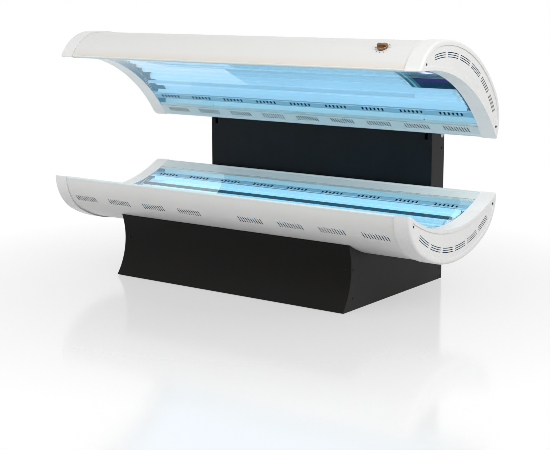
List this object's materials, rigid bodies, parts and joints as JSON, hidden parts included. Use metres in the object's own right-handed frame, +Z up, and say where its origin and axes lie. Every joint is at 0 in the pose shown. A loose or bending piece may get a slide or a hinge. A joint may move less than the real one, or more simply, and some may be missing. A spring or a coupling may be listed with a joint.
{
  "type": "clamshell tanning bed",
  "caption": "White clamshell tanning bed with blue lamps behind acrylic, on a black pedestal with a rear column; the canopy swings down over the bed on a rear hinge.",
  "frame": {"origin": "floor level, under the middle of the bed's curved section, half way along the bed", "axes": "+X towards the head end with the face tanner, +Y towards the rear column, +Z up"},
  "size_m": [2, 0.9204, 1.1545],
  "materials": {
    "white_shell": "satin",
    "white_trim": "gloss",
    "pale_rail": "satin",
    "black_panel": "satin",
    "steel_frame": "satin",
    "bare_steel": "satin",
    "hinge_steel": "satin",
    "rubber": "matte",
    "acrylic": "gloss",
    "lamp_glass": "gloss",
    "reflector": "polished",
    "dark_plastic": "satin",
    "holder_plastic": "satin",
    "black_plastic": "satin",
    "rib_aluminium": "satin",
    "filter_glass": "gloss",
    "knob_amber": "gloss",
    "screw_black": "satin",
    "chrome": "polished"
  },
  "bodies": {
    "base": {"ballasts": "bare_steel", "base_feet": "rubber", "base_frame": "steel_frame", "base_front_panel": "black_panel", "base_side_panel_left": "black_panel", "base_side_panel_right": "black_panel", "bed_acrylic": "acrylic", "bed_end_plates": "white_trim", "bed_end_trim_left": "white_trim", "bed_end_trim_right": "white_trim", "bed_fan_housing": "black_plastic", "bed_front_rail": "pale_rail", "bed_lamp_holders": "holder_plastic", "bed_lamps": "lamp_glass", "bed_rear_rail": "pale_rail", "bed_reflector": "reflector", "bed_ribs": "rib_aluminium", "bed_shell": "white_shell", "bed_side_pane": "acrylic", "bed_support_bars": "dark_plastic", "bed_vent_strip": "dark_plastic", "bracket_caps": "holder_plastic", "cable_gland": "black_plastic", "column_front_panel": "black_panel", "column_top_cover": "black_panel", "control_box": "holder_plastic", "hinge_brackets": "hinge_steel", "hinge_pins": "bare_steel", "panel_screws": "screw_black", "rear_panel": "black_panel", "tub_saddles": "steel_frame"},
    "canopy": {"canopy_acrylic": "acrylic", "canopy_end_plates": "white_trim", "canopy_end_screws": "screw_black", "canopy_end_trim_left": "white_trim", "canopy_end_trim_right": "white_trim", "canopy_fan_housing": "black_plastic", "canopy_front_rail": "pale_rail", "canopy_hinge_arms": "hinge_steel", "canopy_lamp_holders": "holder_plastic", "canopy_lamps": "lamp_glass", "canopy_rear_rail": "pale_rail", "canopy_reflector": "reflector", "canopy_ribs": "rib_aluminium", "canopy_shell": "white_shell", "canopy_side_pane": "acrylic", "canopy_support_bars": "dark_plastic", "canopy_vent_strip": "dark_plastic", "face_tanner_filter": "filter_glass", "face_tanner_housing": "bare_steel", "face_tanner_lamps": "lamp_glass", "timer_unit": "black_plastic"},
    "strut_cylinder_left": {"strut_cylinder_left": "hinge_steel"},
    "strut_cylinder_right": {"strut_cylinder_right": "hinge_steel"},
    "strut_rod_left": {"strut_rod_left": "chrome"},
    "strut_rod_right": {"strut_rod_right": "chrome"},
    "timer_dial": {"timer_knob": "knob_amber"},
    "bed_fan": {"bed_fan_rotor": "black_plastic"},
    "canopy_fan": {"canopy_fan_rotor": "black_plastic"}
  },
  "joints": [
    {"name": "canopy_hinge", "type": "hinge", "parent": "base", "child": "canopy", "pos_m": [0, 0.495, 0.706], "axis": [1, 0, 0], "range_deg": [0, 25.8]},
    {"name": "bed_fan_spin", "type": "hinge", "parent": "base", "child": "bed_fan", "pos_m": [0, 0, 0.26], "axis": [0, 0, 1], "continuous": true},
    {"name": "canopy_fan_spin", "type": "hinge", "parent": "canopy", "child": "canopy_fan", "pos_m": [0, 0.1168, 1.06099], "axis": [0, 0.4352, 0.9003], "continuous": true},
    {"name": "timer_turn", "type": "hinge", "parent": "canopy", "child": "timer_dial", "pos_m": [0.774, -0.23494, 1.12125], "axis": [0, -0.503, 0.8643], "range_deg": [0, 300]},
    {"name": "strut_swing_left", "type": "hinge", "parent": "base", "child": "strut_cylinder_left", "pos_m": [-0.592, 0.505, 0.395], "axis": [1, 0, 0], "range_deg": [0, 0.35]},
    {"name": "strut_slide_left", "type": "slide", "parent": "strut_cylinder_left", "child": "strut_rod_left", "axis": [0, -0.1697, 0.9855], "range_m": [-0.0203, 0]},
    {"name": "strut_swing_right", "type": "hinge", "parent": "base", "child": "strut_cylinder_right", "pos_m": [0.592, 0.505, 0.395], "axis": [1, 0, 0], "range_deg": [0, 0.35]},
    {"name": "strut_slide_right", "type": "slide", "parent": "strut_cylinder_right", "child": "strut_rod_right", "axis": [0, -0.1697, 0.9855], "range_m": [-0.0203, 0]}
  ],
  "couplings": [
    {"joint": "strut_swing_left", "follows": "canopy_hinge", "ratio": 0.011696},
    {"joint": "strut_slide_left", "follows": "canopy_hinge", "m_per_rad": -0.044474},
    {"joint": "strut_swing_right", "follows": "canopy_hinge", "ratio": 0.011696},
    {"joint": "strut_slide_right", "follows": "canopy_hinge", "m_per_rad": -0.044474}
  ]
}
